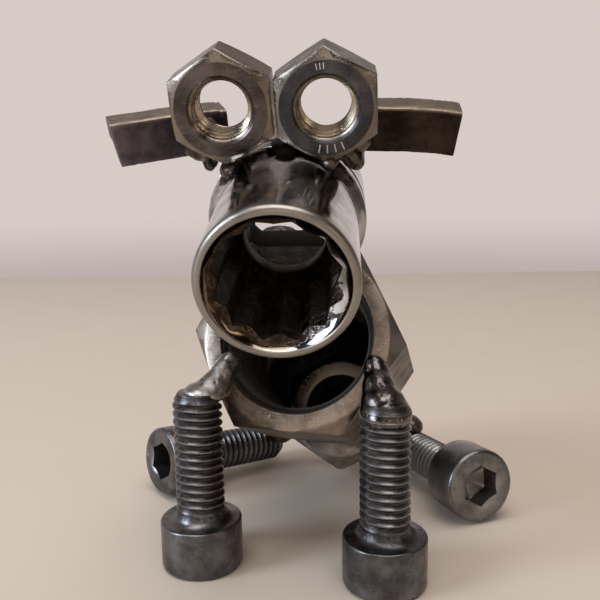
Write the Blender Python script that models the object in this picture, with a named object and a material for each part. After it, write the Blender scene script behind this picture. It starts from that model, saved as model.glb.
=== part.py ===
"""Small dog welded together from screws, nuts, a socket and two cut bars.

Everything is in metres with +Z up. The dog stands on z = 0 and faces -Y.
Left and right are the sides seen by someone who looks the dog in the face:
left is -X. Sizes below are in millimetres and are scaled once, by MM.
"""
import math

import bmesh
import bpy
from mathutils import Euler, Matrix, Vector

MM = 0.001

# Clearance between pieces that are welded together
GAP = 0.3

# M6 cap screws of the four legs
SCREW_HEAD_R = 5.0
SCREW_HEAD_H = 6.0
SCREW_SHANK_R = 3.0
SCREW_LENGTH = 22.0
SCREW_EDGE = 0.45
SCREW_TIP = 0.7
SCREW_KEY = 2.5
SCREW_KEY_DEPTH = 3.0

# M6 nuts of the eyes
EYE_FLAT = 5.0
EYE_THICK = 5.0
EYE_FACE_R = 4.6
EYE_SINK_R = 3.35
EYE_BORE_R = 2.55
EYE_SINK = 0.55

# Large thin-walled nut of the body
BODY_FLAT = 12.0
BODY_LENGTH = 24.6
BODY_FACE_R = 11.9
BODY_SINK_R = 9.9
BODY_BORE_R = 8.9
BODY_SINK = 1.2

# M10 nut of the rump, corner down, its bore closed by weld metal
RUMP_FLAT = 8.0
RUMP_THICK = 7.8
RUMP_FACE_R = 7.4
RUMP_SINK_R = 5.3
RUMP_BORE_R = 4.3
RUMP_SINK = 0.9
RUMP_SHIFT_X = 2.5
RUMP_SHIFT_Z = -6.65

# Twelve-point socket of the head
HEAD_LENGTH = 25.2
HEAD_NOSE_R = 7.9
HEAD_RIM_R = 7.4
HEAD_MOUTH_R = 7.0
HEAD_ROUND = 0.8
HEAD_MOUTH_BEVEL = 1.1
HEAD_POINT_FLAT = 5.5
HEAD_POINT_DEPTH = 8.0
HEAD_BORE_R = 4.5
HEAD_BORE_START = 12.2
HEAD_DRIVE_START = 14.5
HEAD_DRIVE_HALF = 4.76
HEAD_DRIVE_CORNER = 6.2
HEAD_NECK_START = 14.6
HEAD_NECK_END = 16.0
HEAD_DRIVE_R = 8.85
HEAD_DRIVE_EDGE = 0.7
HEAD_POINT_TURN = 15.0

# Cut bars of the ears
EAR_HEIGHT = 4.9
EAR_THICK = 4.0
EAR_EDGE = 0.25
EAR_LEFT_RUN = [(-2.65, 0.0, -0.1), (2.0, 0.0, 0.0), (6.5, 0.0, 0.0), (8.6, -0.12, 0.0),
                (10.0, -0.33, 0.0)]
EAR_RIGHT_RUN = [(-6.0, -0.05, 0.0), (-1.0, 0.1, 0.0), (2.2, 0.0, 0.03), (4.3, -0.2, 0.08)]

# Body: its front face over the forelegs and its lower rear edge over the hind screw heads
BODY_X = -0.2
BODY_Y = -5.4
BODY_RAISE = 5.8
BODY_LIFT = 2.05
BODY_ROLL = 2.3

# Forelegs: inward from the body's side corner and forward from its face
FORE_LEFT = (3.106, 4.2)
FORE_RIGHT = (1.856, 4.65)

# Hind legs: tip outward from the rump's corners and back from the body, heading, rise
HIND_LEFT = (0.175, 4.368, 38.0, -5.3)
HIND_RIGHT = (-2.532, 5.189, -31.6, -4.4)

# Head: lowest rear point measured from the body's upper front edge, heading, rise
HEAD_HEEL = (-1.272, -1.241, -1.829)
HEAD_TURN = (-8.7, 19.1)

# Eyes: place along the socket and clearance over it, heading, rise, roll
EYE_ACROSS = -0.564
EYE_ALONG = 11.6
EYE_ABOVE = 0.545
EYE_POSE = (-9.0, 21.8, -2.0)

# Ears: outward from the nuts, behind their faces and up, then sweep, pitch, roll
EAR_LEFT_AT = (5.9, -0.7, -2.5, 33.0, 20.5, 10.0)
EAR_RIGHT_AT = (3.55, 3.8, -1.85, 7.0, 23.5, -3.5)

# Looks: colour and roughness of each kind of metal
STEEL = ((0.15, 0.15, 0.17), 0.42)
ZINC = ((0.34, 0.34, 0.35), 0.38)
NUT_STEEL = ((0.13, 0.12, 0.12), 0.4)
BODY_STEEL = ((0.30, 0.27, 0.25), 0.36)
CHROME = ((0.62, 0.61, 0.60), 0.14)
BAR_STEEL = ((0.09, 0.07, 0.07), 0.5)
WELD_STEEL = ((0.24, 0.23, 0.23), 0.38)

# Weld beads: neighbours, then lumps by anchor, offset from it, half sizes and turn
BEADS = {
    "weld_foreleg_left": (("foreleg_screw_left", "body_nut"), [
        ("fore_left", (1.65, 1.7, -0.1), (2.5, 2.6, 1.7), (20, 0, 0)),
        ("fore_left", (2.35, 3.4, 0.9), (1.9, 1.9, 2.3), (0, 25, 0))]),
    "weld_foreleg_right": (("foreleg_screw_right", "body_nut"), [
        ("fore_right", (-0.1, 0.35, -1.0), (3.5, 3.4, 1.9), (8, 0, 0)),
        ("fore_right", (-1.2, 2.95, 0.9), (2.4, 2.5, 2.1), (0, -25, 0))]),
    "weld_neck": (("body_nut", "head_socket"), [
        ("neck", (-3.48, 0.06, 0.59), (3.2, 2.6, 1.9), (-20, 0, 0)),
        ("neck", (1.32, 0.26, 0.39), (3.4, 2.4, 1.8), (-20, 0, 0))]),
    "weld_eyes": (("eye_nut_left", "eye_nut_right", "head_socket"), [
        ("brow", (-0.03, 4.3, 1.55), (1.9, 2.2, 1.7), (20, 0, 0))]),
    "weld_eye_left": (("eye_nut_left", "head_socket"), [
        ("brow", (-5.6, 1.1, -0.1), (1.3, 2.2, 1.6), (20, 20, 0))]),
    "weld_eye_right": (("eye_nut_right", "head_socket"), [
        ("brow", (6.6, 2.0, -0.1), (1.4, 2.2, 1.4), (20, -20, 0))]),
    "weld_ear_left": (("ear_bar_left", "eye_nut_left", "head_socket"), [
        ("ear_left", (6.2, 2.3, 0.5), (2.4, 2.4, 2.6), (0, 20, 0)),
        ("ear_left", (7.3, 1.5, -1.5), (0.9, 1.6, 1.7), (0, 0, 0))]),
    "weld_ear_right": (("ear_bar_right", "eye_nut_right", "head_socket"), [
        ("ear_right", (-6.0, -0.6, -2.1), (1.9, 2.3, 2.0), (0, -20, 0))]),
    "weld_rump": (("body_nut", "rump_nut"), [
        ("rear", (0.0, 3.01, 1.73), (9.8, 2.8, 7.4), (-23, 0, 0)),
        ("rear", (-5.7, 0.81, -3.07), (4.4, 2.4, 4.6), (-23, 0, 0)),
        ("rear", (9.0, 1.31, -3.27), (2.6, 2.4, 4.4), (-23, 0, 0))]),
    "weld_rump_bore": (("body_nut",), [
        ("rump", (0.0, 3.46, -1.94), (3.75, 2.0, 3.75), (-23, 0, 0))]),
    "weld_hindleg_right": (("body_nut", "rump_nut", "hindleg_screw_right"), [
        ("hind_right", (0.59, -1.98, 4.04), (2.4, 2.6, 1.9), (0, 0, 30))]),
    "weld_hindleg_left": (("body_nut", "rump_nut", "hindleg_screw_left"), [
        ("hind_left", (1.71, -3.16, 3.1), (2.8, 3.2, 2.4), (0, 20, 0)),
        ("rear", (-6.5, -1.59, -9.77), (1.9, 2.8, 2.1), (0, 0, 0))]),
}


def pose(x, y, z, heading, rise, roll):
    """Matrix whose Y axis runs backward through the piece and Z axis up."""
    turn = (Matrix.Rotation(-math.radians(heading), 4, "Z")
            @ Matrix.Rotation(math.radians(rise), 4, "X")
            @ Matrix.Rotation(math.radians(roll), 4, "Y"))
    return Matrix.Translation((x, y, z)) @ turn


def polygon_radius(angle, flat, sides):
    """Distance from the centre to a regular polygon, a flat facing angle 0."""
    step = 2 * math.pi / sides
    off = (angle + step / 2) % step - step / 2
    return flat / math.cos(off)


def hexagon(flat):
    """Hexagon with flats above and below."""
    return lambda a: polygon_radius(a - math.pi / 2, flat, 6)


def corner_hexagon(flat):
    """Hexagon with corners above and below."""
    return lambda a: polygon_radius(a, flat, 6)


def twelve_points(flat, turn):
    """Outline of two hexagons, one turned by half a side."""
    def radius(a):
        b = a - math.radians(turn)
        return max(polygon_radius(b, flat, 6), polygon_radius(b + math.pi / 6, flat, 6))
    return radius


def drive_square(half, corner):
    """Square with its corners rounded off at the given distance."""
    return lambda a: min(polygon_radius(a, half, 4), corner)


def value(item, angle):
    return item(angle) if callable(item) else item


def new_object(name, bm, matrix, look):
    """Finishes a bmesh in millimetres as an object in metres."""
    bmesh.ops.remove_doubles(bm, verts=bm.verts, dist=1e-5)
    bmesh.ops.recalc_face_normals(bm, faces=bm.faces)
    bm.transform(Matrix.Scale(MM, 4) @ matrix)
    mesh = bpy.data.meshes.new(name)
    bm.to_mesh(mesh)
    bm.free()
    obj = bpy.data.objects.new(name, mesh)
    bpy.context.scene.collection.objects.link(obj)
    if look is not None:
        mesh.materials.append(metal(name, look))
    return obj


def rings_mesh(loops, count, closed):
    """Skin over rings that are (radius, distance along Y) pairs."""
    bm = bmesh.new()
    rings = []
    for radius, along in loops:
        ring = []
        for i in range(count):
            a = 2 * math.pi * i / count
            r = value(radius, a)
            ring.append(bm.verts.new((r * math.cos(a), value(along, a), r * math.sin(a))))
        rings.append(ring)
    pairs = list(zip(rings, rings[1:]))
    if closed:
        pairs.append((rings[-1], rings[0]))
    else:
        bm.faces.new(rings[0])
        bm.faces.new(rings[-1])
    for one, two in pairs:
        for i in range(count):
            j = (i + 1) % count
            bm.faces.new((one[i], one[j], two[j], two[i]))
    return bm


def nut_loops(outline, flat_face_r, length, sink_r, bore_r, sink):
    """Rings of a nut with a 30 degree chamfer and a countersink at each end."""
    slope = math.tan(math.radians(30))

    def front(a):
        return max(outline(a) - flat_face_r, 0.0) * slope

    def back(a):
        return length - front(a)

    return [(flat_face_r, 0.0), (outline, front), (outline, back), (flat_face_r, length),
            (sink_r, length), (bore_r, length - sink), (bore_r, sink), (sink_r, 0.0)]


def screw_loops():
    """Rings of a cap screw from the floor of its key socket to its tip."""
    head = SCREW_HEAD_R
    shank = SCREW_SHANK_R
    return [(corner_hexagon(SCREW_KEY), SCREW_KEY_DEPTH), (corner_hexagon(SCREW_KEY), 0.0),
            (head - SCREW_EDGE, 0.0), (head, SCREW_EDGE), (head, SCREW_HEAD_H),
            (shank, SCREW_HEAD_H),
            (shank, SCREW_LENGTH - SCREW_TIP), (shank - 0.55, SCREW_LENGTH)]


def head_loops():
    """Rings of the socket, outside from mouth to drive end and back inside."""
    points = twelve_points(HEAD_POINT_FLAT, HEAD_POINT_TURN)
    drive = drive_square(HEAD_DRIVE_HALF, HEAD_DRIVE_CORNER)
    return [(HEAD_RIM_R, 0.0), (HEAD_NOSE_R, HEAD_ROUND), (HEAD_NOSE_R, HEAD_NECK_START),
            (HEAD_DRIVE_R, HEAD_NECK_END), (HEAD_DRIVE_R, HEAD_LENGTH - HEAD_DRIVE_EDGE),
            (HEAD_DRIVE_R - HEAD_DRIVE_EDGE, HEAD_LENGTH), (drive, HEAD_LENGTH),
            (drive, HEAD_DRIVE_START), (HEAD_BORE_R, HEAD_DRIVE_START),
            (HEAD_BORE_R, HEAD_BORE_START), (points, HEAD_POINT_DEPTH),
            (points, HEAD_MOUTH_BEVEL), (HEAD_MOUTH_R, 0.2)]


def bar_mesh(stations, extra):
    """Bar along X through stations (along, lift, lean); front face on y = 0."""
    half = EAR_HEIGHT / 2 + extra
    low = -extra
    high = EAR_THICK + extra
    cut = EAR_EDGE
    outline = [(low + cut, -half), (low, -half + cut), (low, half - cut), (low + cut, half),
               (high - cut, half), (high, half - cut), (high, -half + cut), (high - cut, -half)]
    bm = bmesh.new()
    rings = []
    for k, (along, lift, lean) in enumerate(stations):
        if k == 0:
            along -= extra
        if k == len(stations) - 1:
            along += extra
        rings.append([bm.verts.new((along + lean * z, y, z + lift)) for y, z in outline])
    bm.faces.new(rings[0])
    bm.faces.new(rings[-1])
    for one, two in zip(rings, rings[1:]):
        for i in range(8):
            j = (i + 1) % 8
            bm.faces.new((one[i], one[j], two[j], two[i]))
    return bm


def metal(name, look):
    """Own material of one piece; a look is (colour, roughness)."""
    colour, rough = look
    mat = bpy.data.materials.new(name)
    mat.use_nodes = True
    shader = mat.node_tree.nodes["Principled BSDF"]
    shader.inputs["Base Color"].default_value = (*colour, 1.0)
    shader.inputs["Roughness"].default_value = rough
    shader.inputs["Metallic"].default_value = 1.0
    return mat


def lump(bm, centre, radii, turn, phase):
    """Uneven bead of weld metal added to a bmesh."""
    ball = bmesh.ops.create_icosphere(bm, subdivisions=2, radius=1.0)["verts"]
    spin = Euler([math.radians(t) for t in turn]).to_matrix()
    for v in ball:
        p = v.co.copy()
        swell = 1 + 0.07 * math.sin(3 * p.x + phase) * math.cos(4 * p.y - phase)
        swell += 0.05 * math.sin(5 * p.z + 2 * phase)
        v.co = spin @ Vector([c * r * swell for c, r in zip(p, radii)]) + centre


def boolean(obj, other, operation):
    mod = obj.modifiers.new("cut", "BOOLEAN")
    mod.operation = operation
    mod.solver = "EXACT"
    mod.object = other
    graph = bpy.context.evaluated_depsgraph_get()
    mesh = bpy.data.meshes.new_from_object(obj.evaluated_get(graph))
    obj.modifiers.clear()
    old = obj.data
    obj.data = mesh
    bpy.data.meshes.remove(old)


def drop(obj):
    mesh = obj.data
    bpy.data.objects.remove(obj)
    bpy.data.meshes.remove(mesh)


def keep_largest(obj):
    """Leaves the biggest connected part of a mesh."""
    bm = bmesh.new()
    bm.from_mesh(obj.data)
    left = set(bm.verts)
    parts = []
    while left:
        stack = [next(iter(left))]
        part = set()
        while stack:
            v = stack.pop()
            if v in part:
                continue
            part.add(v)
            stack.extend(e.other_vert(v) for e in v.link_edges)
        left -= part
        parts.append(part)
    parts.sort(key=len)
    for part in parts[:-1]:
        bmesh.ops.delete(bm, geom=list(part), context="VERTS")
    bmesh.ops.remove_doubles(bm, verts=bm.verts, dist=2e-6)
    bmesh.ops.dissolve_degenerate(bm, dist=2e-6, edges=bm.edges)
    bmesh.ops.triangulate(bm, faces=bm.faces)
    bmesh.ops.recalc_face_normals(bm, faces=bm.faces)
    bm.to_mesh(obj.data)
    bm.free()


def weld(name, lumps, anchors, cutters):
    """Bead of several lumps, cut back to a clearance from its neighbours."""
    bead = None
    for k, (anchor, offset, radii, turn) in enumerate(lumps):
        bm = bmesh.new()
        lump(bm, anchors[anchor] + Vector(offset), radii, turn, 0.9 * k + len(name))
        part = new_object(name + "_part", bm, Matrix.Identity(4), None)
        if bead is None:
            bead = part
            bead.name = name
        else:
            boolean(bead, part, "UNION")
            drop(part)
    for solid, matrix in cutters:
        cutter = new_object("cutter", solid(), matrix, None)
        boolean(bead, cutter, "DIFFERENCE")
        drop(cutter)
    keep_largest(bead)
    bead.data.name = name
    bead.data.materials.clear()
    bead.data.materials.append(metal(name, WELD_STEEL))
    return bead


def shade(obj, angle):
    """Smooth shading that keeps edges sharper than the given angle."""
    bm = bmesh.new()
    bm.from_mesh(obj.data)
    for f in bm.faces:
        f.smooth = True
    for e in bm.edges:
        e.smooth = e.is_manifold and e.calc_face_angle(0.0) < math.radians(angle)
    bm.to_mesh(obj.data)
    bm.free()


def body_pose():
    """Body nut whose pitch follows from the heights at its front and rear."""
    front = SCREW_LENGTH + BODY_RAISE
    drop = front - (SCREW_HEAD_R + BODY_LIFT)
    pitch = math.asin(drop / math.hypot(BODY_LENGTH, BODY_FLAT))
    pitch -= math.atan2(BODY_FLAT, BODY_LENGTH)
    return pose(BODY_X, BODY_Y, front, 0.0, -math.degrees(pitch), BODY_ROLL)


def corner(flat):
    """Distance from the centre of a hexagon to its corners."""
    return flat / math.cos(math.radians(30))


def fore_pose(side, inward, forward):
    """An upright screw standing on its head in front of the body."""
    x = BODY_X + side * (corner(BODY_FLAT) - inward)
    return pose(x, BODY_Y - SCREW_SHANK_R - forward, 0.0, 0.0, 90.0, 0.0)


def hind_pose(rear, side, outward, behind, heading, rise):
    """A screw lying on the edge of its head, its tip beside the rump nut."""
    lean = math.radians(-rise)
    z = SCREW_HEAD_R * math.cos(lean) + SCREW_HEAD_H * math.sin(lean)
    x = rear.x + RUMP_SHIFT_X + side * (corner(RUMP_FLAT) + SCREW_SHANK_R + outward)
    turn = pose(0.0, 0.0, 0.0, heading, rise, 0.0)
    start = Vector((x, rear.y + behind, 0.0)) - turn @ Vector((0.0, SCREW_LENGTH, 0.0))
    return pose(start.x, start.y, z, heading, rise, 0.0)


def head_pose(edge):
    """Socket whose lowest rear point lies in front of the body's upper edge."""
    turn = pose(0.0, 0.0, 0.0, *HEAD_TURN, 0.0)
    reach = turn @ Vector((0.0, HEAD_LENGTH, -HEAD_DRIVE_R))
    return pose(*(edge + Vector(HEAD_HEEL) - reach), *HEAD_TURN, 0.0)


def ear_pose(eyes, side, outward, behind, lift, sweep, pitch, roll):
    """Bar axis along local X; the front face leans back by the pitch."""
    place = eyes + Vector((side * (2 * EYE_FLAT + outward), EYE_THICK + behind, lift))
    turn = (Matrix.Rotation(math.radians(sweep), 4, "Z")
            @ Matrix.Rotation(math.radians(pitch), 4, "X")
            @ Matrix.Rotation(-math.radians(roll), 4, "Y"))
    return Matrix.Translation(place) @ turn


def grown_solids(places):
    """Plain solids of all pieces but the beads, grown by the clearance."""
    tip = SCREW_LENGTH + GAP
    screw = [(SCREW_HEAD_R + GAP, -GAP), (SCREW_HEAD_R + GAP, SCREW_HEAD_H + GAP),
             (SCREW_SHANK_R + GAP, SCREW_HEAD_H + GAP), (SCREW_SHANK_R + GAP, tip)]
    nut = [(hexagon(BODY_FLAT + GAP), -GAP), (hexagon(BODY_FLAT + GAP), BODY_LENGTH + GAP)]
    eye = [(corner_hexagon(EYE_FLAT + GAP), -GAP),
           (corner_hexagon(EYE_FLAT + GAP), EYE_THICK + GAP)]
    rump = [(corner_hexagon(RUMP_FLAT + GAP), -GAP),
            (corner_hexagon(RUMP_FLAT + GAP), RUMP_THICK + GAP)]
    socket = [(HEAD_NOSE_R + GAP, 0.0), (HEAD_NOSE_R + GAP, HEAD_NECK_START - GAP),
              (HEAD_DRIVE_R + GAP, HEAD_NECK_END - GAP),
              (HEAD_DRIVE_R + GAP, HEAD_LENGTH + GAP)]
    turned = {"foreleg_screw_left": screw, "foreleg_screw_right": screw,
              "hindleg_screw_left": screw, "hindleg_screw_right": screw,
              "body_nut": nut, "eye_nut_left": eye, "eye_nut_right": eye,
              "rump_nut": rump, "head_socket": socket}
    solids = {}
    for name, loops in turned.items():
        solids[name] = (lambda rings=loops: rings_mesh(rings, 36, False), places[name])
    for name, run in (("ear_bar_left", EAR_LEFT_RUN), ("ear_bar_right", EAR_RIGHT_RUN)):
        solids[name] = (lambda line=run: bar_mesh(line, GAP), places[name])
    return solids


def centre_on_origin():
    """Moves all meshes so that their common box stands centred on z = 0."""
    points = [v.co for o in bpy.data.objects for v in o.data.vertices]
    low = [min(p[i] for p in points) for i in range(3)]
    high = [max(p[i] for p in points) for i in range(3)]
    shift = Vector((-(low[0] + high[0]) / 2, -(low[1] + high[1]) / 2, -low[2]))
    for mesh in {o.data for o in bpy.data.objects}:
        mesh.transform(Matrix.Translation(shift))


def main():
    for obj in list(bpy.data.objects):
        bpy.data.objects.remove(obj)

    # Body and rump
    body = body_pose()
    rear = body @ Vector((0.0, BODY_LENGTH, 0.0))
    edge = body @ Vector((0.0, 0.0, BODY_FLAT))
    loops = nut_loops(hexagon(BODY_FLAT), BODY_FACE_R, BODY_LENGTH,
                      BODY_SINK_R, BODY_BORE_R, BODY_SINK)
    new_object("body_nut", rings_mesh(loops, 48, True), body, BODY_STEEL)
    level = body @ Matrix.Rotation(-math.radians(BODY_ROLL), 4, "Y")
    rump = level @ Matrix.Translation((RUMP_SHIFT_X, BODY_LENGTH + GAP, RUMP_SHIFT_Z))
    loops = nut_loops(corner_hexagon(RUMP_FLAT), RUMP_FACE_R, RUMP_THICK,
                      RUMP_SINK_R, RUMP_BORE_R, RUMP_SINK)
    new_object("rump_nut", rings_mesh(loops, 36, True), rump, BODY_STEEL)

    # Legs
    places = {"foreleg_screw_left": fore_pose(-1, *FORE_LEFT),
              "foreleg_screw_right": fore_pose(1, *FORE_RIGHT),
              "hindleg_screw_left": hind_pose(rear, -1, *HIND_LEFT),
              "hindleg_screw_right": hind_pose(rear, 1, *HIND_RIGHT)}
    for name, at in places.items():
        look = ZINC if name == "hindleg_screw_right" else STEEL
        new_object(name, rings_mesh(screw_loops(), 36, False), at, look)

    # Head, eyes and ears
    head = head_pose(edge)
    new_object("head_socket", rings_mesh(head_loops(), 48, True), head, CHROME)
    brow = head @ Vector((EYE_ACROSS, EYE_ALONG, HEAD_NOSE_R))
    eyes = head @ Vector((EYE_ACROSS, EYE_ALONG, HEAD_NOSE_R + EYE_FLAT + EYE_ABOVE))
    middle = pose(*eyes, EYE_POSE[0], EYE_POSE[1], 0.0)
    for name, side in (("eye_nut_left", -1), ("eye_nut_right", 1)):
        step = side * (EYE_FLAT + GAP / 2) / math.cos(math.radians(EYE_POSE[2]))
        places[name] = (middle @ Matrix.Translation((step, 0, 0))
                        @ Matrix.Rotation(math.radians(EYE_POSE[2]), 4, "Y"))
        loops = nut_loops(corner_hexagon(EYE_FLAT), EYE_FACE_R, EYE_THICK,
                          EYE_SINK_R, EYE_BORE_R, EYE_SINK)
        new_object(name, rings_mesh(loops, 36, True), places[name], NUT_STEEL)
    ear_left = ear_pose(eyes, -1, *EAR_LEFT_AT)
    ear_right = ear_pose(eyes, 1, *EAR_RIGHT_AT)
    new_object("ear_bar_left", bar_mesh(EAR_LEFT_RUN, 0.0), ear_left, BAR_STEEL)
    new_object("ear_bar_right", bar_mesh(EAR_RIGHT_RUN, 0.0), ear_right, BAR_STEEL)
    places.update(body_nut=body, rump_nut=rump, head_socket=head,
                  ear_bar_left=ear_left, ear_bar_right=ear_right)

    # Points that the beads are measured from
    tip = Vector((0.0, SCREW_LENGTH, 0.0))
    top = Vector((0.0, 0.0, SCREW_LENGTH))
    anchors = {"fore_left": places["foreleg_screw_left"].translation + top,
               "fore_right": places["foreleg_screw_right"].translation + top,
               "hind_left": places["hindleg_screw_left"] @ tip,
               "hind_right": places["hindleg_screw_right"] @ tip,
               "neck": edge, "brow": brow, "rear": rear, "rump": rump.translation,
               "ear_left": ear_left.translation, "ear_right": ear_right.translation}

    # Weld beads, cut back to the clearance from grown copies of their neighbours
    grown = grown_solids(places)
    for name, (neighbours, lumps) in BEADS.items():
        weld(name, lumps, anchors, [grown[n] for n in neighbours])

    for obj in bpy.data.objects:
        shade(obj, 32)
    centre_on_origin()


main()
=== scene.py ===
"""Looks of the small dog welded together from screws, nuts, a socket and bars.

Sizes of the pieces are in millimetres until TO_WORLD turns them into metres.
Each piece is built along its own Y axis, which runs backward, with Z up and X
to the right. The number deep on each vertex tells the materials how recessed
or how worn the place is, and where highlights and shade are painted.
"""

import math

import bmesh
import bpy
from mathutils import Euler, Matrix, Vector, noise


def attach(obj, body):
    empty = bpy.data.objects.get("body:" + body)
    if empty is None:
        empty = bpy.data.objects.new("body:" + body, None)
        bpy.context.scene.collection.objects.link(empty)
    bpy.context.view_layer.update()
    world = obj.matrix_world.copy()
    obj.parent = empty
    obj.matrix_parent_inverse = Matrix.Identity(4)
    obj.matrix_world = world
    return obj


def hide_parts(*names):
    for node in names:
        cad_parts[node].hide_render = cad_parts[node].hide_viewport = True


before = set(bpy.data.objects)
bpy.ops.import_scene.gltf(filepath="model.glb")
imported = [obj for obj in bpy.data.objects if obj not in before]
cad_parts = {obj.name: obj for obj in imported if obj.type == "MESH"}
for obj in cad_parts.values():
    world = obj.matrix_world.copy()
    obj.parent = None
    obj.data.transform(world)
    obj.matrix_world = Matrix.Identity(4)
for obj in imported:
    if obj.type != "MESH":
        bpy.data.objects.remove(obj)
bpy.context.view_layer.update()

TAU = 2 * math.pi
SHIFT = (-0.130, 3.005, 0.0)
MM = 0.001
TO_WORLD = Matrix.Scale(MM, 4) @ Matrix.Translation(SHIFT)

HEAD_R, HEAD_HIGH = 5.0, 6.0
KEY_FLAT, KEY_MOUTH_R = 2.5, 3.08
THREAD_R, THREAD_ROOT, THREAD_PITCH = 2.98, 2.60, 1.0
NECK_R, NECK_END = 2.95, 7.1
TIP_R, SCREW_LONG = 2.33, 22.0
RUMP_FLAT = 8.0
STAR_FLAT, DRIVE_FLAT, HOLE_R = 5.5, 4.76, 4.5
MOUTH_R, NOSE_R, REAR_R, SOCKET_LONG = 7.0, 7.9, 8.85, 25.2
RIM_WORN = -0.8
BAR_HIGH, BAR_THICK, BAR_EDGE = 4.9, 4.0, 0.42
BEAD_VOXEL = 0.14


# Placing and building

def pose(x, y, z, heading, rise, roll):
    """Place of a piece; heading turns it to the right, rise lifts its rear."""
    turn = (Matrix.Rotation(-math.radians(heading), 4, "Z")
            @ Matrix.Rotation(math.radians(rise), 4, "X")
            @ Matrix.Rotation(math.radians(roll), 4, "Y"))
    return Matrix.Translation((x, y, z)) @ turn


def hind_pose(x, y, heading, rise):
    """Place of a lying screw whose head's rear edge touches the ground."""
    tip = math.radians(-rise)
    z = HEAD_R * math.cos(tip) + HEAD_HIGH * math.sin(tip)
    return pose(x, y, z, heading, rise, 0.0)


def ear_pose(x, y, z, sweep, pitch, roll):
    """Place of an ear; sweep turns its outer end, pitch tips it back."""
    turn = (Matrix.Rotation(math.radians(sweep), 4, "Z")
            @ Matrix.Rotation(math.radians(pitch), 4, "X")
            @ Matrix.Rotation(-math.radians(roll), 4, "Y"))
    return Matrix.Translation((x, y, z)) @ turn


def soft_polygon(angle, flat, sides, turn, sharp):
    """Distance to a regular polygon whose corners are slightly rounded."""
    total = 0.0
    for k in range(sides):
        c = math.cos(angle - turn - k * TAU / sides)
        if c > 0:
            total += c ** sharp
    return flat / total ** (1 / sharp)


def hexagon(flat, turn=90.0, sharp=260):
    """Radius of a hexagon by angle; flat is half its width across the flats."""
    return lambda a: soft_polygon(a, flat, 6, math.radians(turn), sharp)


def twelve_points(flat, turn):
    """Radius of a twelve-point star made of two hexagons."""
    one = hexagon(flat, turn)
    two = hexagon(flat, turn + 30.0)
    return lambda a: max(one(a), two(a))


def val(item, a):
    """Number at angle a of an item that is a number or a function of the angle."""
    return item(a) if callable(item) else item


def arc(r, y, radius, start, end, steps):
    """Ring profile points on a quarter round; angles in degrees from +r to +y."""
    out = []
    for k in range(steps + 1):
        t = math.radians(start + (end - start) * k / steps)
        out.append((r + radius * math.cos(t), y + radius * math.sin(t)))
    return out


class Shape:
    """Vertices, faces and one deep number per vertex."""

    def __init__(self):
        self.verts = []
        self.faces = []
        self.deep = []

    def rings(self, loops, n, closed=False, start_cap=False, end_cap=False):
        """Turned wall through loops of (radius, y) or (radius, y, deep)."""
        base = len(self.verts)
        for loop in loops:
            r, y = loop[0], loop[1]
            deep = loop[2] if len(loop) > 2 else 0.0
            for i in range(n):
                a = TAU * i / n
                rr = val(r, a)
                self.verts.append((rr * math.cos(a), val(y, a), rr * math.sin(a)))
                self.deep.append(val(deep, a))
        count = len(loops)
        steps = count if closed else count - 1
        for k in range(steps):
            one = base + k * n
            two = base + (k + 1) % count * n
            for i in range(n):
                j = (i + 1) % n
                self.faces.append((one + i, one + j, two + j, two + i))
        if start_cap:
            self.faces.append(tuple(base + i for i in range(n)))
        if end_cap:
            self.faces.append(tuple(base + (count - 1) * n + i for i in range(n)))
        return self

    def thread(self, crest, root, pitch, start, end, n, limit, deep=1.0):
        """Helical wall on a grid sheared along the helix, held by limit(r, y).

        A deep above 1 or below 0 marks the crests too, as in a bore.
        """
        form = [(-0.07, 0.0), (0.07, 0.0), (0.22, 0.5), (0.38, 0.97), (0.5, 1.0),
                (0.62, 0.97), (0.78, 0.5)]
        base = len(self.verts)
        rows = []
        turns = int(math.ceil((end - start) / pitch)) + 1
        for k in range(-1, turns + 1):
            rows.extend((k + f, d) for f, d in form)
        for at, d in rows:
            for i in range(n + 1):
                a = TAU * i / n
                y = start + (at + i / n) * pitch
                y = min(max(y, start), end)
                r = limit(crest + (root - crest) * d, y)
                self.verts.append((r * math.cos(a), y, r * math.sin(a)))
                self.deep.append(deep * (d if 0.0 < deep <= 1.0 else 0.75 + 0.25 * d))
        w = n + 1
        for k in range(len(rows) - 1):
            for i in range(n):
                p = base + k * w + i
                self.faces.append((p, p + 1, p + w + 1, p + w))
        return self


def make(name, shape, at, mat, sharp=38.0, node=None, rough=None):
    """Object from a shape at its place; edges steeper than sharp stay crisp."""
    bm = bmesh.new()
    layer = bm.verts.layers.float.new("deep")
    verts = []
    for co, deep in zip(shape.verts, shape.deep):
        v = bm.verts.new(co)
        v[layer] = deep
        verts.append(v)
    for f in shape.faces:
        if len(set(f)) > 2:
            try:
                bm.faces.new([verts[i] for i in f])
            except ValueError:
                pass
    seam = 2e-4
    bmesh.ops.remove_doubles(bm, verts=bm.verts, dist=seam)
    bmesh.ops.dissolve_degenerate(bm, dist=seam, edges=bm.edges)
    bmesh.ops.recalc_face_normals(bm, faces=bm.faces)
    if rough:
        rough(bm)
    for f in bm.faces:
        f.smooth = True
    limit = math.radians(sharp)
    for e in bm.edges:
        e.smooth = not (e.is_manifold and e.calc_face_angle(0) > limit)
    bm.transform(TO_WORLD @ at)
    mesh = bpy.data.meshes.new(name)
    bm.to_mesh(mesh)
    bm.free()
    mesh.materials.append(mat)
    obj = bpy.data.objects.new(name, mesh)
    bpy.context.scene.collection.objects.link(obj)
    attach(obj, "root")
    if node:
        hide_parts(node)


# Materials

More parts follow.
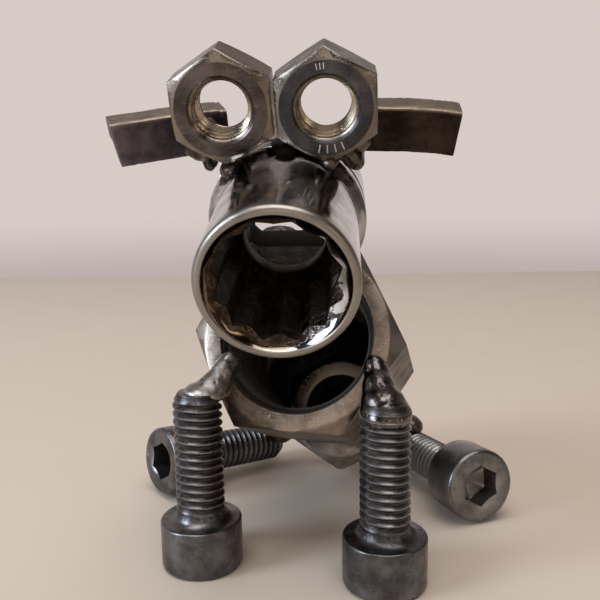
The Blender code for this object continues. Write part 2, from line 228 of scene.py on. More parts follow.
class Look:
    """Small helper around a node tree with one Principled shader."""

    def __init__(self, name):
        self.mat = bpy.data.materials.new(name)
        self.mat.use_nodes = True
        self.nodes = self.mat.node_tree.nodes
        self.links = self.mat.node_tree.links
        self.shader = self.nodes["Principled BSDF"]
        self.coords = self.nodes.new("ShaderNodeTexCoord").outputs["Object"]

    def link(self, out, into):
        if isinstance(out, (int, float)):
            into.default_value = out
        elif isinstance(out, tuple):
            into.default_value = (*out, 1.0)
        else:
            self.links.new(out, into)

    def noise(self, scale, detail=4.0, rough=0.6, stretch=(1, 1, 1), turn=(0, 0, 0), warp=0.0):
        mapping = self.nodes.new("ShaderNodeMapping")
        mapping.inputs["Scale"].default_value = stretch
        mapping.inputs["Rotation"].default_value = turn
        self.links.new(self.coords, mapping.inputs["Vector"])
        tex = self.nodes.new("ShaderNodeTexNoise")
        tex.inputs["Scale"].default_value = scale
        tex.inputs["Detail"].default_value = detail
        tex.inputs["Roughness"].default_value = rough
        tex.inputs["Distortion"].default_value = warp
        self.links.new(mapping.outputs["Vector"], tex.inputs["Vector"])
        return tex.outputs["Fac"]

    def ramp(self, fac, low, high, out_low=0.0, out_high=1.0):
        node = self.nodes.new("ShaderNodeMapRange")
        node.interpolation_type = "SMOOTHSTEP"
        self.link(fac, node.inputs["Value"])
        node.inputs["From Min"].default_value = low
        node.inputs["From Max"].default_value = high
        node.inputs["To Min"].default_value = out_low
        node.inputs["To Max"].default_value = out_high
        return node.outputs["Result"]

    def mix(self, fac, one, two):
        node = self.nodes.new("ShaderNodeMix")
        node.data_type = "RGBA"
        self.link(fac, node.inputs[0])
        self.link(one, node.inputs[6])
        self.link(two, node.inputs[7])
        return node.outputs[2]

    def math(self, kind, one, two=0.0):
        node = self.nodes.new("ShaderNodeMath")
        node.operation = kind
        self.link(one, node.inputs[0])
        self.link(two, node.inputs[1])
        return node.outputs[0]

    def attribute(self, name):
        node = self.nodes.new("ShaderNodeAttribute")
        node.attribute_name = name
        return node.outputs["Fac"]

    def add(self, one, two):
        return self.math("ADD", one, two)

    def times(self, one, two):
        return self.math("MULTIPLY", one, two)

    def across(self):
        """Place along X, in metres."""
        node = self.nodes.new("ShaderNodeSeparateXYZ")
        self.links.new(self.coords, node.inputs[0])
        return node.outputs["X"]

    def worn_edges(self, low, high):
        """1 on convex edges, 0 elsewhere."""
        geometry = self.nodes.new("ShaderNodeNewGeometry")
        return self.ramp(geometry.outputs["Pointiness"], low, high)

    def bump(self, height, strength, distance):
        node = self.nodes.new("ShaderNodeBump")
        node.inputs["Strength"].default_value = strength
        node.inputs["Distance"].default_value = distance
        self.link(height, node.inputs["Height"])
        self.links.new(node.outputs["Normal"], self.shader.inputs["Normal"])

    def finish(self, colour, rough, metallic=1.0):
        self.link(colour, self.shader.inputs["Base Color"])
        self.link(rough, self.shader.inputs["Roughness"])
        self.link(metallic, self.shader.inputs["Metallic"])
        return self.mat


BORE_PAINTED_SHADE = (0.006, 0.005, 0.005)
PAINTED_HIGHLIGHT = (0.46, 0.38, 0.29)


def brighter(colour, times):
    return tuple(min(1.0, c * times) for c in colour)


def steel(name, dark, light, hollow_dark, rough, scratch=0.5, pitting=0.35, bright=None):
    """Worn steel.

    deep: below 0 a painted highlight, up to 0.9 darker towards the hollows, just above 1 dull
    scale,
    1.9 and more black painted shade
    """
    look = Look(name)
    patch = look.ramp(look.noise(260, 5, 0.62), 0.35, 0.68)
    fine = look.noise(2600, 3, 0.7)
    streak = look.noise(900, 3, 0.7, (1, 1, 7), (0.4, 0.2, 0.1), 0.4)
    streak = look.ramp(streak, 0.56, 0.72)
    pits = look.ramp(look.noise(1500, 3, 0.55), 0.62, 0.74)
    deep = look.attribute("deep")
    colour = look.mix(patch, dark, light)
    colour = look.mix(look.times(streak, 0.35 * scratch), colour, bright or brighter(light, 2.2))
    edge = look.worn_edges(0.52, 0.60)
    colour = look.mix(look.times(edge, 0.5), colour, bright or brighter(light, 2.4))
    colour = look.mix(look.times(pits, pitting), colour, hollow_dark)
    # Deep 0 to 1 makes the colour darker towards the hollows.
    colour = look.mix(look.ramp(deep, 0.0, 1.0, 0.0, 0.8), colour, hollow_dark)
    # Painted shade: deep 1.1 to 1.9 turns bores black; the roughness and metal ramps below follow
    # it.
    colour = look.mix(look.ramp(deep, 1.1, 1.9), colour, BORE_PAINTED_SHADE)
    # Painted highlight: deep below 0 mixes in a warm bright colour.
    colour = look.mix(look.ramp(deep, -0.45, -0.05, 1.0, 0.0), colour, PAINTED_HIGHLIGHT)
    spread = look.ramp(look.noise(420, 4, 0.6), 0.3, 0.7, rough - 0.07, rough + 0.10)
    spread = look.add(spread, look.times(pits, 0.18))
    spread = look.add(spread, look.times(deep, 0.12))
    spread = look.add(spread, look.ramp(deep, 1.1, 1.9, 0.0, 0.5))
    height = look.add(look.times(fine, 0.5), look.times(pits, -1.2))
    height = look.add(height, look.times(streak, -0.4))
    look.bump(height, 0.35, 0.00006)
    metal = look.times(look.ramp(deep, 0.9, 1.06, 1.0, 0.2),
                       look.ramp(deep, 1.1, 1.9, 1.0, 0.0))
    return look.finish(colour, spread, metal)


screw_steel = steel("screw_steel", (0.078, 0.074, 0.080), (0.190, 0.182, 0.188),
                    (0.030, 0.024, 0.020), 0.30)
zinc_steel = steel("zinc_steel", (0.12, 0.12, 0.125), (0.27, 0.265, 0.265),
                   (0.05, 0.042, 0.038), 0.34)
rump_steel = steel("rump_steel", (0.12, 0.105, 0.098), (0.30, 0.265, 0.240),
                   (0.035, 0.027, 0.022), 0.34, 0.5)
nut_dark = steel("nut_dark", (0.055, 0.045, 0.042), (0.150, 0.128, 0.122),
                 (0.040, 0.030, 0.024), 0.30, 0.8)
nut_blue = steel("nut_blue", (0.036, 0.036, 0.040), (0.100, 0.100, 0.109),
                 (0.030, 0.024, 0.020), 0.31, 0.8)
body_steel = steel("body_steel", (0.18, 0.145, 0.120), (0.40, 0.330, 0.278),
                   (0.050, 0.036, 0.027), 0.33, 0.8)
bar_grey = steel("bar_grey", (0.055, 0.045, 0.052), (0.155, 0.128, 0.142),
                 (0.028, 0.020, 0.018), 0.42)
bar_brown = steel("bar_brown", (0.014, 0.009, 0.007), (0.050, 0.034, 0.027),
                  (0.014, 0.009, 0.007), 0.44)
weld_steel = steel("weld_steel", (0.22, 0.200, 0.19), (0.52, 0.485, 0.46),
                   (0.040, 0.030, 0.026), 0.33, 0.3, 0.5)
weld_gloss = steel("weld_gloss", (0.060, 0.052, 0.052), (0.200, 0.175, 0.170),
                   (0.022, 0.016, 0.014), 0.19, 0.3, 0.5)
weld_brown = steel("weld_brown", (0.050, 0.040, 0.036), (0.155, 0.125, 0.110),
                   (0.022, 0.016, 0.014), 0.36, 0.3, 0.6)
# Painted shade: near-black weld for the welds between the eyes and at the rump, which sit in
# shadow.
weld_painted_shade = steel("weld_painted_shade", (0.012, 0.010, 0.010), (0.035, 0.030, 0.030),
                  (0.010, 0.008, 0.007), 0.55, 0.2, 0.5, (0.08, 0.07, 0.065))
mark_steel = steel("mark_steel", (0.36, 0.34, 0.31), (0.52, 0.50, 0.46),
                   (0.10, 0.08, 0.06), 0.34)


def chrome():
    """Plating that has flaked off inside and around the mouth.

    deep: below 0 the rounded worn rim, 0.3 to 1 inside the mouth, 2 black painted shade
    """
    look = Look("socket_chrome")
    deep = look.attribute("deep")
    cloud = look.noise(330, 5, 0.65)
    speck = look.noise(1900, 4, 0.7)
    flakes = look.add(deep, look.times(look.add(cloud, -0.5), 1.7))
    flakes = look.add(flakes, look.times(look.add(speck, -0.5), 0.5))
    aside = look.times(look.add(look.across(), -0.0045), -55.0)
    flakes = look.add(flakes, look.times(aside, look.ramp(deep, 0.3, 0.5)))
    bare = look.ramp(flakes, 0.56, 0.62)
    plated = look.mix(look.ramp(look.noise(700, 4, 0.6), 0.4, 0.7), (0.50, 0.49, 0.49),
                      (0.66, 0.65, 0.65))
    # Painted reflection: dark streaks on the plating stand for the dark room mirrored in it.
    painted_dark_reflection = look.noise(240, 4, 0.55, (1.0, 0.35, 1.0), (0.33, 0.0, 0.15), 0.6)
    painted_dark_reflection = look.ramp(painted_dark_reflection, 0.44, 0.62)
    plated = look.mix(look.times(painted_dark_reflection, 0.72), plated, (0.085, 0.078, 0.080))
    rim = look.ramp(deep, -0.75, -0.1, 1.0, 0.0)
    plated = look.mix(look.times(rim, 0.9), plated, (0.27, 0.243, 0.212))
    # Painted reflection: plating on the left side of the mouth is tinted warm gold.
    painted_warm_reflection = look.times(look.ramp(aside, -0.02, 0.10), look.ramp(deep, 0.02, 0.2))
    plated = look.mix(painted_warm_reflection, plated, (0.21, 0.150, 0.100))
    rusty = look.mix(look.ramp(look.noise(800, 4, 0.7), 0.42, 0.66), (0.030, 0.021, 0.016),
                     (0.115, 0.080, 0.055))
    gold = look.ramp(look.noise(1300, 3, 0.6, warp=0.5), 0.62, 0.70)
    rusty = look.mix(look.times(gold, 0.5), rusty, (0.40, 0.27, 0.12))
    colour = look.mix(bare, plated, rusty)
    pits = look.ramp(look.noise(2100, 3, 0.6), 0.66, 0.74)
    colour = look.mix(look.times(pits, 0.6), colour, (0.10, 0.08, 0.07))
    # Painted shade: deep 1.1 to 1.8 goes black, as in the drive hole, and below it loses its gloss
    # and metal.
    colour = look.mix(look.ramp(deep, 1.1, 1.8), colour, (0.008, 0.006, 0.006))
    rough = look.ramp(look.noise(500, 4, 0.6), 0.35, 0.7, 0.07, 0.17)
    rough = look.add(rough, look.times(bare, 0.42))
    rough = look.add(rough, look.times(pits, 0.25))
    rough = look.add(rough, look.ramp(deep, -0.7, -0.05, 0.24, 0.0))
    grain = look.times(look.noise(1700, 3, 0.7), look.add(look.times(bare, 0.9), 0.06))
    height = look.add(look.times(bare, -1.0), grain)
    height = look.add(height, look.times(pits, -0.5))
    look.bump(height, 0.5, 0.00005)
    rough = look.add(rough, look.ramp(deep, 1.1, 1.8, 0.0, 0.5))
    return look.finish(colour, rough, look.ramp(deep, 1.1, 1.8, 1.0, 0.0))


socket_chrome = chrome()


# Screws of the legs

def cap_screw(key_deep):
    """M6 cap screw; key_deep tells how dark its key socket is, and below 0 paints a highlight into
    it.
    """
    n = 72
    key = hexagon(KEY_FLAT, 0.0)
    shape = Shape()
    loops = [(0.0, 3.75, key_deep), (lambda a: key(a) * 0.97, 3.1, key_deep),
             (key, 3.0, key_deep * 0.8), (key, 1.4, key_deep * 0.4),
             (key, lambda a: (KEY_MOUTH_R - key(a)) * 0.55, 0.1), (KEY_MOUTH_R, 0.0)]
    soft, crisp = 0.65, 0.25
    loops += [(3.8, 0.0), (HEAD_R - soft, 0.0)]
    loops += arc(HEAD_R - soft, soft, soft, -90, 0, 6)[1:]
    loops += [(HEAD_R, 2.2), (HEAD_R, 4.2)]
    loops += arc(HEAD_R - crisp, HEAD_HIGH - crisp, crisp, 0, 90, 4)
    loops += [(4.3, HEAD_HIGH), (3.85, 6.05, 0.1), (3.4, 6.26, 0.2), (3.1, 6.62, 0.3),
              (NECK_R, NECK_END, 0.4)]
    shape.rings(loops, n)

    def limit(r, y):
        if y > SCREW_LONG - 1.1:
            r = min(r, TIP_R + (SCREW_LONG - y) * 0.62)
        blend = min(max((y - NECK_END) / 0.9, 0.0), 1.0)
        return NECK_R + (r - NECK_R) * blend

    shape.thread(THREAD_R, THREAD_ROOT, THREAD_PITCH, NECK_END, SCREW_LONG, n, limit, 0.85)
    shape.rings([(TIP_R, SCREW_LONG), (1.6, SCREW_LONG), (0.0, SCREW_LONG - 0.05)], n)
    return shape


LEGS = {
    "foreleg_screw_left": (pose(-10.95, -12.6, 0, 0, 90, 0), screw_steel, 1.0),
    "foreleg_screw_right": (pose(11.8, -13.05, 0, 0, 90, 0), screw_steel, 1.0),
    "hindleg_screw_left": (hind_pose(-23.6, 4.3, 38.0, -5.3), screw_steel, 1.0),
    # key_deep -0.17 paints a highlight into this screw's key socket.
    "hindleg_screw_right": (hind_pose(23.5, 3.7, -31.6, -4.4), zinc_steel, -0.17),
}
for name, (at, mat, key_deep) in LEGS.items():
    make("leg_" + name, cap_screw(key_deep), at, mat, node=name)


# Nuts

def nut(flat, face, length, sink_r, bore, root, sink, pitch, n, turn, dark, lit=0.0,
        flank=0.0):
    """Hexagon nut with a threaded bore, its front at 0.

    flat, face: half width over the flats, radius of the flat front
    sink_r, sink: radius and depth of the bore's countersink
    bore, root, pitch: thread; n: points around; turn: direction of a flat
    dark, lit, flank: how deep the thread, the front and the sides count; high values paint black
    shade and values below 0 paint highlights
    """
    outline = hexagon(flat, turn, 420)
    slope = math.tan(math.radians(30))
    soft = 0.012 * flat

    def front(a):
        return max(outline(a) - face, 0.0) * slope

    def lip(a):
        return 0.1 + val(lit, a)

    shape = Shape()
    loops = [(sink_r + 0.06, 0.0, lip), (face - soft, 0.0, lit),
             (lambda a: min(face + soft, outline(a)),
              lambda a: min(soft * slope, front(a) + 0.02), flank)]
    loops += [(lambda a: outline(a) - soft, lambda a: max(front(a) - soft * slope, 0.03), flank),
              (outline, lambda a: front(a) + soft, flank)]
    for t in (0.25, 0.5, 0.75):
        loops.append((outline, lambda a, t=t: front(a) + soft
                      + t * (length - 2 * front(a) - 2 * soft), flank))
    loops += [(outline, lambda a: length - front(a) - soft, flank),
              (lambda a: outline(a) - soft, lambda a: length - max(front(a) - soft * slope, 0.03)),
              (lambda a: min(face + soft, outline(a)),
               lambda a: length - min(soft * slope, front(a) + 0.02)),
              (face - soft, length), (sink_r + 0.06, length, 0.1), (sink_r, length - 0.05, 0.3)]
    loops += [(root + 0.02, length - sink * 0.8, dark), (root, length - sink, dark)]
    shape.rings(loops, n)

    def limit(r, y):
        near = min(y - sink, length - sink - y)
        blend = min(max(near / (0.7 * pitch), 0.0), 1.0)
        return root + (r - root) * blend

    shape.thread(bore, root, pitch, sink, length - sink, n, limit, dark)
    shape.rings([(root, sink, dark), (root + 0.02, sink * 0.8, dark),
                 (sink_r, 0.05, lip), (sink_r + 0.06, 0.0, lip)], n)
    return shape


BODY_AT, BODY_RISE, BODY_ROLL = (-0.2, -5.4, 27.8), -23.3, 2.3
NUT_SHARP = 30.0


def painted_light_below(a):
    """Painted highlight: the lower half of the body's front is painted brighter."""
    return -0.23 * max(0.0, math.cos(a - math.radians(255)))


def painted_shade_flats(a):
    """Painted dark reflection on the body's upper right flats, weaker painted shade on the lower
    flats.
    """
    return max(0.0, min(1.4, 2.4 * math.cos(a - math.radians(60))),
               0.6 * math.cos(a - math.radians(250)))


# dark=2.0 paints black shade into the body's bore.
body = nut(flat=12.0, face=11.85, length=24.6, sink_r=9.9, bore=8.95, root=9.6, sink=1.3,
           pitch=1.5, n=120, turn=90.0, dark=2.0, lit=painted_light_below, flank=painted_shade_flats)
make("body", body, pose(*BODY_AT, 0.0, BODY_RISE, BODY_ROLL), body_steel, NUT_SHARP, "body_nut")

EYES = pose(1.5, -21.9, 53.6, -9.0, 21.8, 0.0)
EYE_APART, EYE_TURN = 5.153, Matrix.Rotation(-math.radians(2), 4, "Y")
EYE_LEFT, EYE_RIGHT = (EYES @ Matrix.Translation((side * EYE_APART, 0, 0)) @ EYE_TURN
                       for side in (-1, 1))
# dark=-0.4 paints a warm reflection into the eye bores' threads; flank=-0.2 paints a highlight on
# their sides.
eye = nut(flat=5.0, face=4.6, length=5.0, sink_r=3.35, bore=2.55, root=3.0, sink=0.5,
          pitch=1.0, n=72, turn=0.0, dark=-0.4, flank=-0.2)
for name, at, mat in (("eye_nut_left", EYE_LEFT, nut_dark),
                      ("eye_nut_right", EYE_RIGHT, nut_blue)):
    make("eye_" + name, eye, at, mat, NUT_SHARP, name)


# Stamped strokes on the face of the right eye nut

def strokes(middle, across, long, wide):
    """Row of short radial bars that stand a little out of the nut's face."""
    shape = Shape()
    for x in across:
        a = math.atan2(middle, x)
        out = Vector((math.cos(a), 0.0, math.sin(a)))
        side = Vector((-out.z, 0.0, out.x))
        centre = out * abs(middle)
        base = len(shape.verts)
        for y, shrink in ((0.03, 1.0), (-0.035, 0.6)):
            for s, t in ((-1, -1), (1, -1), (1, 1), (-1, 1)):
                p = centre + out * (s * long * 0.5) + side * (t * wide * 0.5 * shrink)
                shape.verts.append((p.x, y, p.z))
                shape.deep.append(0.0)
        for i in range(4):
            j = (i + 1) % 4
            shape.faces.append((base + i, base + j, base + 4 + j, base + 4 + i))
        shape.faces.append(tuple(base + i for i in range(4)))
        shape.faces.append(tuple(base + 4 + i for i in range(4)))
    return shape


make("marks_below", strokes(-4.0, (-0.85, -0.05, 0.75, 1.6), 0.85, 0.16), EYE_RIGHT,
     mark_steel, NUT_SHARP)
make("marks_above", strokes(4.1, (-0.75, -0.4, -0.05), 0.6, 0.14), EYE_RIGHT, mark_steel,
     NUT_SHARP)


# Rump nut, corner down, its bore closed by a bead further on

RUMP = pose(*BODY_AT, 0.0, BODY_RISE, 0.0) @ Matrix.Translation((2.5, 24.9, -6.65))


def painted_crescent_light(a):
    """Painted highlight on the upper part of the rump's front, seen through the body."""
    return -0.4 * min(1.0, max(0.0, math.sin(a) * 1.6 + 0.3))


# dark=2.0 paints black shade into the rump's bore.
rump = nut(flat=RUMP_FLAT, face=7.4, length=7.8, sink_r=5.3, bore=4.3, root=5.0, sink=0.8,
           pitch=1.5, n=72, turn=0.0, dark=2.0, lit=painted_crescent_light)
make("rump", rump, RUMP, rump_steel, NUT_SHARP, "rump_nut")


# Head socket

def socket():
    """Twelve-point socket, its mouth at 0 and its square drive hole at the rear."""
    n = 144
    hole = HOLE_R + 0.1
    star = twelve_points(STAR_FLAT, 15.0)

    def drive(a):
        return min(soft_polygon(a, DRIVE_FLAT, 4, 0.0, 200), 6.2)

    shape = Shape()
    loops = [(6.98, 0.30, 0.1), (7.04, 0.14, RIM_WORN), (7.12, 0.04, RIM_WORN)]
    loops += [(r, y, RIM_WORN) for r, y in arc(7.22, 0.70, 0.70, -90, -10, 8)]
    loops += [(NOSE_R, 0.85, RIM_WORN / 2)]
    loops += [(NOSE_R, 3.0), (NOSE_R, 8.0), (NOSE_R, 14.4)]
    loops += [(7.98, 14.75), (8.5, 15.55), (8.78, 15.9), (REAR_R, 16.2)]
    loops += [(REAR_R, 17.6), (8.72, 17.7, 0.5), (8.62, 17.85, 0.6), (8.62, 18.3, 0.6),
              (8.72, 18.45, 0.5), (REAR_R, 18.55)]
    loops += [(REAR_R, 21.0), (REAR_R, 24.4)]
    loops += arc(REAR_R - 0.8, SOCKET_LONG - 0.8, 0.8, 0, 90, 6)[1:]
    loops += [(7.0, SOCKET_LONG), (6.6, SOCKET_LONG, 0.2), (drive, SOCKET_LONG, 0.3)]
    # Deep 1.9 paints black shade into the square drive hole.
    loops += [(drive, 24.9, 1.9), (drive, 20.6, 1.9), (drive, 19.8, 1.0), (drive, 14.6, 1.0)]
    loops += [(hole, 14.5, 1.0), (HOLE_R, 14.3, 0.95), (HOLE_R, 12.5, 0.9), (hole, 12.2, 0.85)]
    loops += [(lambda a: hole + (star(a) - hole) * 0.55, 11.2, 0.9), (star, 8.4, 0.95),
              (star, 5.2, 0.85), (star, 3.0, 0.75),
              (star, lambda a: 0.2 + (MOUTH_R - star(a)) * 0.95, 0.62),
              (lambda a: star(a) + (MOUTH_R - star(a)) * 0.5,
               lambda a: 0.3 + (MOUTH_R - star(a)) * 0.5, 0.52)]
    shape.rings(loops, n, closed=True)
    return shape


HEAD = pose(3.05, -28.3, 37.1, -8.7, 19.1, 0.0)
make("head", socket(), HEAD, socket_chrome, 34.0, "head_socket")


# Ears

def bar(run, seed):
    """Cut bar with rounded edges, and the function that dents it.

    run: stations (x, lift, lean) along the bar; lean slants the cross section
    """
    shape = Shape()
    top = BAR_HIGH / 2
    loops = []
    slices, steps = 40, 10
    for i in range(slices + 1):
        at = i / slices * (len(run) - 1)
        k = min(int(at), len(run) - 2)
        f = at - k
        along, lift, lean = (a + (b - a) * f for a, b in zip(run[k], run[k + 1]))
        ring = []
        for side in range(4):
            for s in range(steps):
                w = s / steps
                if side == 0:
                    y, z = 0.0, -top + BAR_HIGH * w
                elif side == 1:
                    y, z = BAR_THICK * w, top
                elif side == 2:
                    y, z = BAR_THICK, top - BAR_HIGH * w
                else:
                    y, z = BAR_THICK - BAR_THICK * w, -top
                cy = min(max(y, BAR_EDGE), BAR_THICK - BAR_EDGE)
                cz = min(max(z, -top + BAR_EDGE), top - BAR_EDGE)
                d = math.hypot(y - cy, z - cz)
                if d > BAR_EDGE:
                    y, z = cy + (y - cy) * BAR_EDGE / d, cz + (z - cz) * BAR_EDGE / d
                # Painted highlight along the top of the bar: deep -0.24 there.
                crest = -0.24 if z > top - 0.45 else 0.0
                ring.append((along + lean * z, y, z + lift, crest))
        loops.append(ring)
    n = len(loops[0])
    for ring in loops:
        for p in ring:
            shape.verts.append(p[:3])
            shape.deep.append(p[3])
    for i in range(slices):
        for j in range(n):
            k = (j + 1) % n
            shape.faces.append((i * n + j, i * n + k, (i + 1) * n + k, (i + 1) * n + j))
    for end, station, out in ((0, run[0], -1), (slices, run[-1], 1)):
        previous = end * n
        for inward in (0.12, 0.4, 0.75):
            start = len(shape.verts)
            for j in range(n):
                p = Vector(loops[end][j][:3])
                c = Vector((p.x, BAR_THICK / 2, station[1]))
                q = p + (c - p) * inward
                shape.verts.append((q.x + out * 0.04, q.y, q.z))
                shape.deep.append(0.2)
            for j in range(n):
                k = (j + 1) % n
                shape.faces.append((previous + j, previous + k, start + k, start + j))
            previous = start
        shape.faces.append(tuple(previous + j for j in range(n)))

    def dent(bm):
        for v in bm.verts:
            p = v.co
            edge = min(abs(p.y), abs(p.y - BAR_THICK)) + abs(abs(p.z) - top)
            k = noise.noise(Vector((p.x * 0.9 + seed, p.y * 0.9, p.z * 0.9)))
            fine = noise.noise(Vector((p.x * 2.6, p.y * 2.6 + seed, p.z * 2.6)))
            depth = 0.05 * k + 0.04 * fine
            if edge < 0.7:
                depth -= 0.22 * max(0.0, fine - 0.12) + 0.16 * max(0.0, k - 0.1)
            c = Vector((p.x, BAR_THICK / 2, 0.0))
            d = (p - c).normalized()
            v.co = p + d * min(depth, 0.03)
    return shape, dent


EAR_LEFT_RUN = [(-2.6, 0.0, -0.1), (2.0, 0.0, 0.0), (6.5, 0.0, 0.0), (8.6, -0.12, 0.0),
                (9.9, -0.33, 0.0)]
EAR_RIGHT_RUN = [(-5.9, -0.05, 0.0), (-1.0, 0.1, 0.0), (2.2, 0.0, 0.03), (4.2, -0.2, 0.08)]
shape, dent = bar(EAR_LEFT_RUN, 3.1)
make("ear_left", shape, ear_pose(-14.4, -17.6, 51.1, 33.0, 20.5, 10.0), bar_grey, 45.0,
     "ear_bar_left", rough=dent)
shape, dent = bar(EAR_RIGHT_RUN, 8.7)
make("ear_right", shape, ear_pose(15.05, -13.1, 51.75, 7.0, 23.5, -3.5), bar_brown, 45.0,
     "ear_bar_right", rough=dent)


# Weld beads

def carve(obj, loops, n, at):
    """Takes a plain turned solid out of a piece."""
    bm = bmesh.new()
    shape = Shape().rings(loops, n, start_cap=True, end_cap=True)
    verts = [bm.verts.new(co) for co in shape.verts]
    for f in shape.faces:
        bm.faces.new([verts[i] for i in f])
    bmesh.ops.recalc_face_normals(bm, faces=bm.faces)
    bm.transform(TO_WORLD @ at)
    mesh = bpy.data.meshes.new("carver")
    bm.to_mesh(mesh)
    bm.free()
    cutter = bpy.data.objects.new("carver", mesh)
    bpy.context.scene.collection.objects.link(cutter)
    mod = obj.modifiers.new("carve", "BOOLEAN")
    mod.operation = "DIFFERENCE"
    mod.solver = "EXACT"
    mod.object = cutter
    graph = bpy.context.evaluated_depsgraph_get()
    carved = bpy.data.meshes.new_from_object(obj.evaluated_get(graph))
    obj.modifiers.clear()
    obj.data = carved
    bpy.data.objects.remove(cutter)
    bpy.data.meshes.remove(mesh)


def bead(node, lumps, seed, mat, carves=()):
    """Weld metal: lumps joined into one skin, smoothed, then pitted.

    lumps: (centre, radii, turn in degrees); carves: solids taken out of it
    """
    passes, relief = (45, 0.35) if "foreleg" in node else (12, 1.0)
    bm = bmesh.new()
    for centre, radii, turn in lumps:
        ball = bmesh.ops.create_icosphere(bm, subdivisions=4, radius=1.0)["verts"]
        spin = Euler([math.radians(t) for t in turn]).to_matrix()
        for v in ball:
            v.co = spin @ Vector([c * r for c, r in zip(v.co, radii)]) + Vector(centre)
    bm.transform(TO_WORLD)
    mesh = bpy.data.meshes.new(node)
    bm.to_mesh(mesh)
    bm.free()
    obj = bpy.data.objects.new("bead_" + node, mesh)
    bpy.context.scene.collection.objects.link(obj)
    mod = obj.modifiers.new("join", "REMESH")
    mod.mode = "VOXEL"
    mod.voxel_size = BEAD_VOXEL * MM
    graph = bpy.context.evaluated_depsgraph_get()
    joined = bpy.data.meshes.new_from_object(obj.evaluated_get(graph))
    obj.modifiers.clear()
    obj.data = joined
    bm = bmesh.new()
    bm.from_mesh(joined)
    for _ in range(passes):
        bmesh.ops.smooth_vert(bm, verts=bm.verts, factor=0.6, use_axis_x=True,
                              use_axis_y=True, use_axis_z=True)
    bm.normal_update()
    layer = bm.verts.layers.float.new("deep")
    for v in bm.verts:
        p = v.co * 1000
        a = noise.noise(p * 0.75 + Vector((seed, 0, 0)))
        b = noise.noise(p * 1.9 + Vector((0, seed, 0)))
        pit = max(0.0, noise.noise(p * 1.3 + Vector((0, 0, seed))) - 0.38)
        v.co += v.normal * (0.14 * a + 0.06 * b - 0.7 * pit) * relief * MM
        v[layer] = min(1.0, pit * 4 + max(0.0, -b) * 0.6)
    for f in bm.faces:
        f.smooth = True
    bm.to_mesh(joined)
    bm.free()
    joined.materials.clear()
    joined.materials.append(mat)
    for loops, n, at in carves:
        carve(obj, loops, n, at)
    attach(obj, "root")
    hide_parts(node)


BEADS = {
    "weld_foreleg_left": [((-10.3, -12.0, 21.7), (2.6, 2.5, 1.2), (0, 8, 0)),
                          ((-9.2, -10.9, 22.3), (2.1, 2.4, 1.6), (20, 20, 0)),
                          ((-8.7, -9.5, 23.4), (1.6, 1.9, 2.2), (0, 25, 0)),
                          ((-8.2, -8.6, 24.4), (1.6, 1.3, 1.9), (0, 35, 0))],
    "weld_foreleg_right": [((11.8, -12.95, 20.6), (3.15, 3.15, 1.9), (8, 0, 0)),
                           ((11.4, -12.2, 21.9), (2.6, 2.7, 1.9), (0, 0, 0)),
                           ((10.8, -10.7, 23.0), (2.0, 2.5, 2.2), (0, -25, 0)),
                           ((10.4, -9.3, 24.4), (1.6, 1.6, 2.3), (0, -15, 0))],
    "weld_neck": [((-3.2, -0.6, 39.4), (3.1, 2.5, 1.8), (-20, 0, 0)),
                  ((1.6, -0.4, 39.2), (3.3, 2.3, 1.7), (-20, 0, 0))],
    "weld_eyes": [((1.2, -15.5, 50.3), (1.7, 1.9, 1.3), (20, 0, 0))],
    "weld_eye_left": [((-4.1, -18.2, 48.5), (1.3, 2.2, 0.9), (20, -38, 0))],
    "weld_eye_right": [((6.3, -17.3, 48.9), (1.1, 1.9, 0.9), (20, -20, 0))],
    "weld_ear_left": [((-8.2, -15.3, 51.6), (2.3, 2.3, 2.5), (0, 20, 0)),
                      ((-7.1, -16.1, 49.6), (0.85, 1.5, 1.6), (0, 0, 0))],
    "weld_ear_right": [((8.1, -13.9, 49.6), (1.2, 2.1, 1.9), (0, -35, 0)),
                       ((9.1, -13.6, 50.7), (1.4, 1.7, 0.9), (0, -30, 0))],
    "weld_rump": [((-0.2, 20.3, 19.8), (9.6, 2.6, 7.3), (-23, 0, 0)),
                  ((-6.6, 18.2, 15.4), (4.6, 2.5, 5.8), (-23, 0, 0)),
                  ((8.8, 18.5, 14.8), (2.5, 2.3, 4.3), (-23, 0, 0))],
    "weld_rump_bore": [((2.3, 18.5, 9.8), (5.3, 2.2, 5.3), (-23, 0, 0))],
    "weld_hindleg_right": [((12.6, 20.4, 7.8), (2.3, 2.5, 1.8), (0, 0, 30))],
    "weld_hindleg_left": [((-8.4, 18.4, 6.8), (2.7, 3.1, 2.3), (0, 20, 0)),
                          ((-6.7, 15.6, 8.6), (1.9, 2.8, 2.1), (0, 0, 0))],
}
FINISHES = {"weld_foreleg_left": weld_steel, "weld_foreleg_right": weld_gloss,
            "weld_eyes": weld_painted_shade, "weld_rump": weld_painted_shade, "weld_rump_bore": weld_painted_shade}
rump_outline = hexagon(RUMP_FLAT, 0.0, 420)
CARVES = {"weld_rump": [([(rump_outline, -1.0), (rump_outline, 7.6)], 72, RUMP)]}
for k, (node, lumps) in enumerate(BEADS.items()):
    bead(node, lumps, 1.7 * k + 0.4, FINISHES.get(node, weld_brown), CARVES.get(node, ()))


# Stage, light and camera

def floor_material():
    """Pale matt table top."""
    look = Look("pale_floor")
    colour = look.mix(look.noise(4, 3, 0.5), (0.565, 0.485, 0.405), (0.605, 0.525, 0.44))
    return look.finish(colour, look.ramp(look.noise(60, 3, 0.5), 0.3, 0.7, 0.48, 0.58), 0.0)


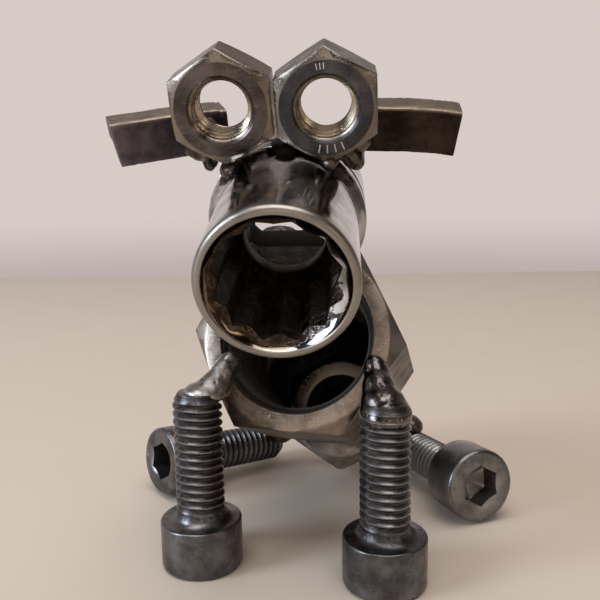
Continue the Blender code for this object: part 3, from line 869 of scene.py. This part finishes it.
SENSOR, LENS_PX, PICTURE_PX = 36.0, 701.25, 600.0
turn, pitch, tilt = math.radians(-12.0), math.radians(9.12), math.radians(-0.79)
level = Vector((math.sin(turn), math.cos(turn), 0.0))
right0 = Vector((math.cos(turn), -math.sin(turn), 0.0))
eye_point = Vector((18.4 + SHIFT[0], -90.0 + SHIFT[1], 46.165)) * MM
ground = Vector((eye_point.x, eye_point.y, 0.0))
corners = [ground + level * a + right0 * b
           for a, b in ((-0.5, -0.9), (-0.5, 0.9), (0.372, 0.9), (0.372, -0.9))]
mesh = bpy.data.meshes.new("floor")
mesh.from_pydata([tuple(c) for c in corners], [], [(0, 1, 2, 3)])
mesh.materials.append(floor_material())
floor = bpy.data.objects.new("floor", mesh)
bpy.context.scene.collection.objects.link(floor)

world = bpy.data.worlds.new("room")
bpy.context.scene.world = world
world.use_nodes = True
nodes = world.node_tree.nodes
links = world.node_tree.links
coords = nodes.new("ShaderNodeTexCoord")
split = nodes.new("ShaderNodeSeparateXYZ")
links.new(coords.outputs["Generated"], split.inputs[0])


def band(value, low, high, dark, light):
    """Colour that runs from dark to light as a direction's part goes low to high."""
    reach = nodes.new("ShaderNodeMapRange")
    reach.interpolation_type = "SMOOTHSTEP"
    links.new(value, reach.inputs["Value"])
    reach.inputs["From Min"].default_value = low
    reach.inputs["From Max"].default_value = high
    mixer = nodes.new("ShaderNodeMix")
    mixer.data_type = "RGBA"
    links.new(reach.outputs["Result"], mixer.inputs[0])
    mixer.inputs[6].default_value = (*dark, 1)
    mixer.inputs[7].default_value = (*light, 1)
    return mixer.outputs[2]


room = band(split.outputs["Y"], -0.35, 0.45, (0.10, 0.085, 0.08), (0.68, 0.60, 0.57))
side = band(split.outputs["X"], 0.15, 0.75, (1, 1, 1), (0.34, 0.31, 0.28))
foot = band(split.outputs["Z"], -0.13, -0.03, (0.72, 0.70, 0.70), (1, 1, 1))
upper = band(split.outputs["Z"], 0.30, 0.60, (1, 1, 1), (0.40, 0.38, 0.37))
tint = room
for other in (side, foot, upper):
    times = nodes.new("ShaderNodeMix")
    times.data_type = "RGBA"
    times.blend_type = "MULTIPLY"
    times.inputs[0].default_value = 1.0
    links.new(tint, times.inputs[6])
    links.new(other, times.inputs[7])
    tint = times.outputs[2]
links.new(tint, nodes["Background"].inputs["Color"])
nodes["Background"].inputs["Strength"].default_value = 1.0


def area(name, place, target, size, power, colour):
    """Rectangular light at place that shines at target; metres and watts."""
    light = bpy.data.lights.new(name, "AREA")
    light.shape = "RECTANGLE"
    light.size, light.size_y = size
    light.energy = power
    light.color = colour
    obj = bpy.data.objects.new(name, light)
    bpy.context.scene.collection.objects.link(obj)
    obj.location = place
    way = Vector(target) - Vector(place)
    obj.rotation_euler = way.to_track_quat("-Z", "Y").to_euler()


area("window", (-0.52, -0.36, 0.30), (0, 0, 0.03), (0.24, 0.46), 3.6, (0.76, 0.87, 1.0))
area("ceiling", (0.03, -0.18, 0.75), (0, 0, 0.03), (0.7, 0.7), 5.3, (1.0, 0.96, 0.93))
area("front", (0.15, -0.80, 0.25), (0, 0, 0.02), (0.6, 0.35), 0.8, (1.0, 0.88, 0.75))
area("warm", (0.60, -0.35, 0.20), (0, 0, 0.03), (0.25, 0.25), 0.35, (1.0, 0.86, 0.70))

camera_data = bpy.data.cameras.new("camera")
camera_data.sensor_width = SENSOR
camera_data.lens = SENSOR * LENS_PX / PICTURE_PX
camera_data.clip_start = 0.005
camera = bpy.data.objects.new("camera", camera_data)
bpy.context.scene.collection.objects.link(camera)
bpy.context.scene.camera = camera
ahead = level * math.cos(pitch) - Vector((0, 0, math.sin(pitch)))
up0 = level * math.sin(pitch) + Vector((0, 0, math.cos(pitch)))
right = right0 * math.cos(tilt) + up0 * math.sin(tilt)
up = up0 * math.cos(tilt) - right0 * math.sin(tilt)
basis = Matrix((right, up, -ahead)).transposed().to_4x4()
camera.matrix_world = Matrix.Translation(eye_point) @ basis

bpy.context.scene.view_settings.view_transform = "Standard"
